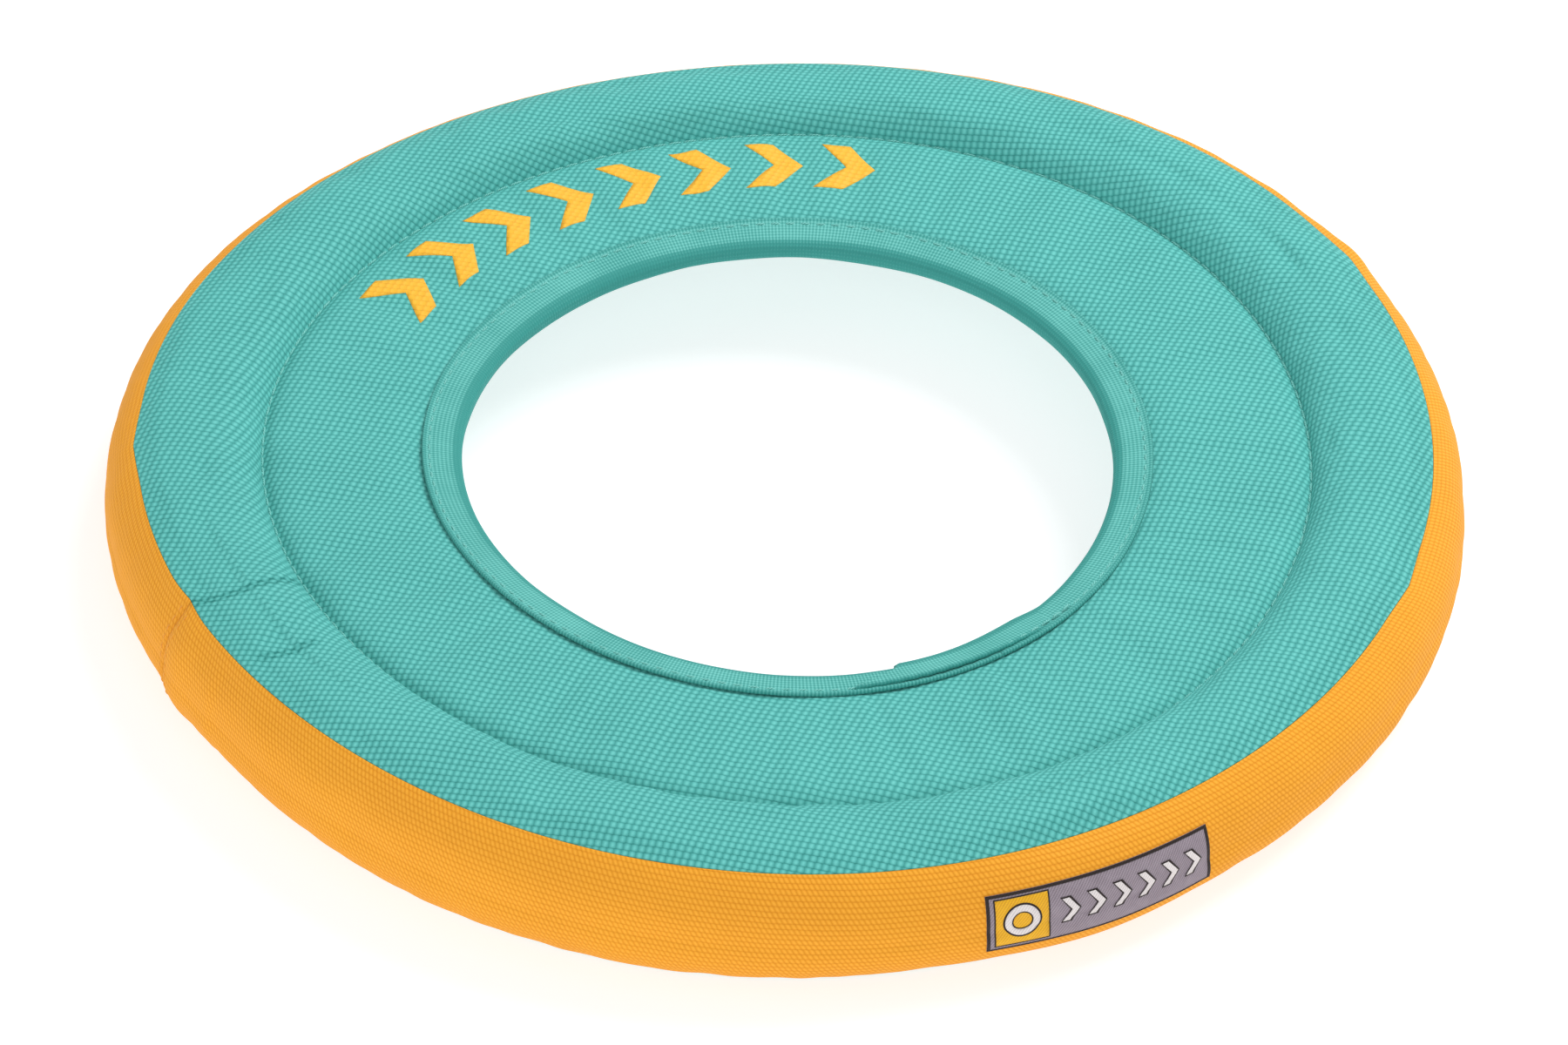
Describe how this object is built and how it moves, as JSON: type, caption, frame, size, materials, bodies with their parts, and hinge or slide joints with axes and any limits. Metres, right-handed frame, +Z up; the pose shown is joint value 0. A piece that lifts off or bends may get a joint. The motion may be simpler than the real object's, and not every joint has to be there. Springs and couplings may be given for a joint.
{
  "type": "flying ring",
  "caption": "Soft throwing ring for lawn games: a padded tube and a thin padded web round a bound central hole, sewn from teal panels and an orange side band.",
  "frame": {"origin": "on the axis of the ring, on the surface that it lies on", "axes": "+Z up along the axis of the ring, away from the surface; the print is on the +Y and -X side and the label on the -Y and +X side"},
  "size_m": [0.28, 0.28, 0.0306],
  "materials": {
    "teal_fabric": "coarse plain weave, matt with a slight sheen",
    "orange_fabric": "plain weave, matt with a slight sheen",
    "teal_tape": "fine woven tape, matt",
    "core_foam": "closed-cell foam, matt",
    "joint_tape": "plain adhesive tape",
    "teal_thread": "twisted polyester thread",
    "orange_thread": "twisted polyester thread",
    "label_cloth": "woven satin label, grey",
    "label_dark": "dark woven border",
    "label_yellow": "yellow woven field",
    "label_pale": "pale grey woven marks",
    "yellow_ink": "flexible print on the weave, matt"
  },
  "bodies": {
    "root": {"top_panel": "teal_fabric", "bottom_panel": "teal_fabric", "side_band": "orange_fabric", "core_ring": "core_foam", "core_joint_tape": "joint_tape", "web_foam": "core_foam", "inner_binding": "teal_tape", "channel_thread": "teal_thread", "binding_thread": "teal_thread", "top_seam_thread": "orange_thread", "bottom_seam_thread": "orange_thread", "band_joint_thread": "orange_thread", "side_label": "label_cloth", "label_border": "label_dark", "label_emblem": "label_yellow", "label_chevrons": "label_pale", "web_print": "yellow_ink"}
  },
  "joints": []
}
